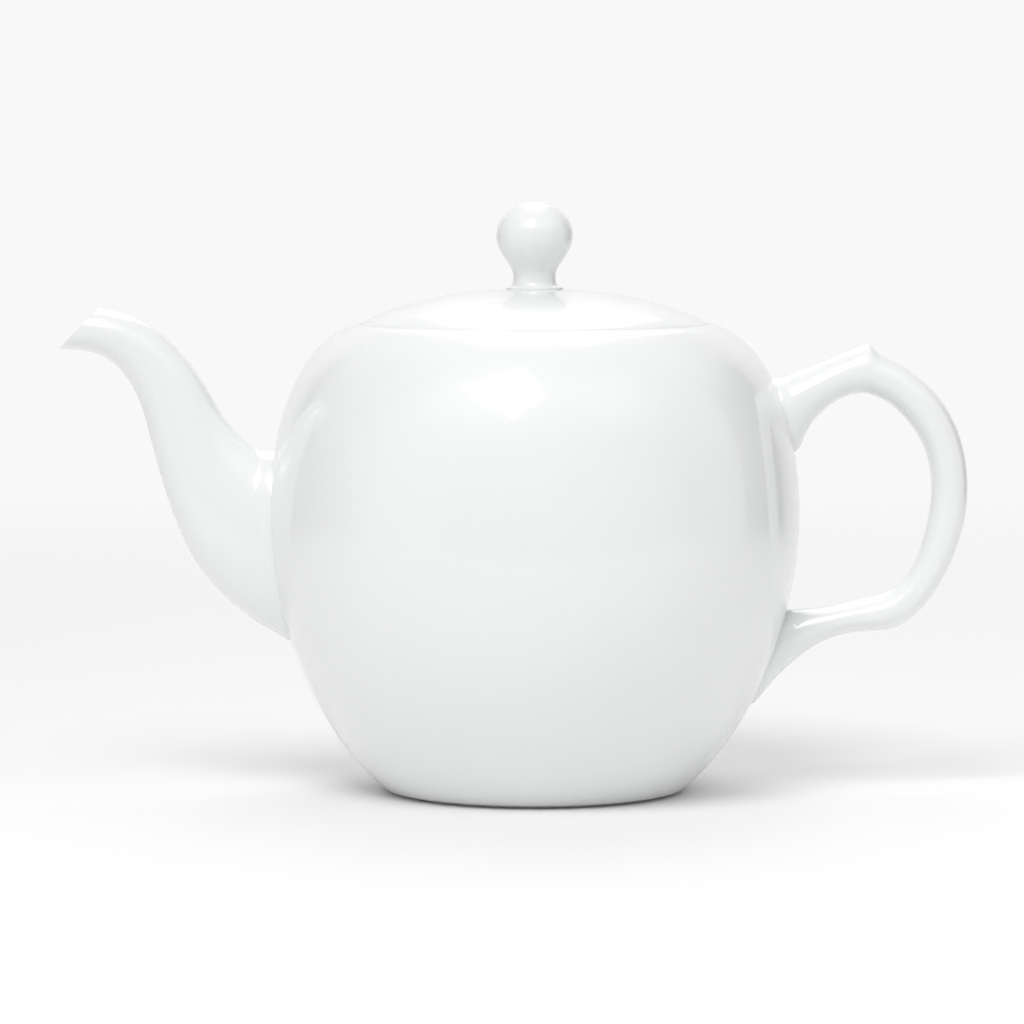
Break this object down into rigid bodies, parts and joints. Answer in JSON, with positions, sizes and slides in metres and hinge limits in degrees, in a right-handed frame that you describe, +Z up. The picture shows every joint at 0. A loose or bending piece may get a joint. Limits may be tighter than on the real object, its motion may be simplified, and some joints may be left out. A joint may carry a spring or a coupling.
{
  "type": "teapot",
  "caption": "Round glazed white porcelain teapot with a beaked, strained spout, a looped handle with a thumb spur, and a lift-off domed lid with a ball knob.",
  "frame": {"origin": "middle of the footprint's box on the table: the pot's own upright axis stands 5.5 mm from it towards +X", "axes": "+Z up along the pot's axis and the way the lid lifts; +X from the spout towards the handle; +Y across the pot, away from a viewer who has the spout on the left"},
  "size_m": [0.2432, 0.142, 0.158],
  "materials": {
    "porcelain_glaze": "clear gloss glaze over white porcelain",
    "biscuit_foot": "unglazed fired porcelain, ground flat"
  },
  "bodies": {
    "pot": {"belly": "porcelain_glaze", "foot_ring": "biscuit_foot", "spout": "porcelain_glaze", "spout_strainer": "porcelain_glaze", "handle": "porcelain_glaze"},
    "lid": {"lid": "porcelain_glaze", "lid_ring": "porcelain_glaze", "lid_knob": "porcelain_glaze"}
  },
  "joints": [
    {"name": "lid_lift", "type": "slide", "parent": "pot", "child": "lid", "axis": [0, 0, 1], "range_m": [0, 0.06]}
  ]
}
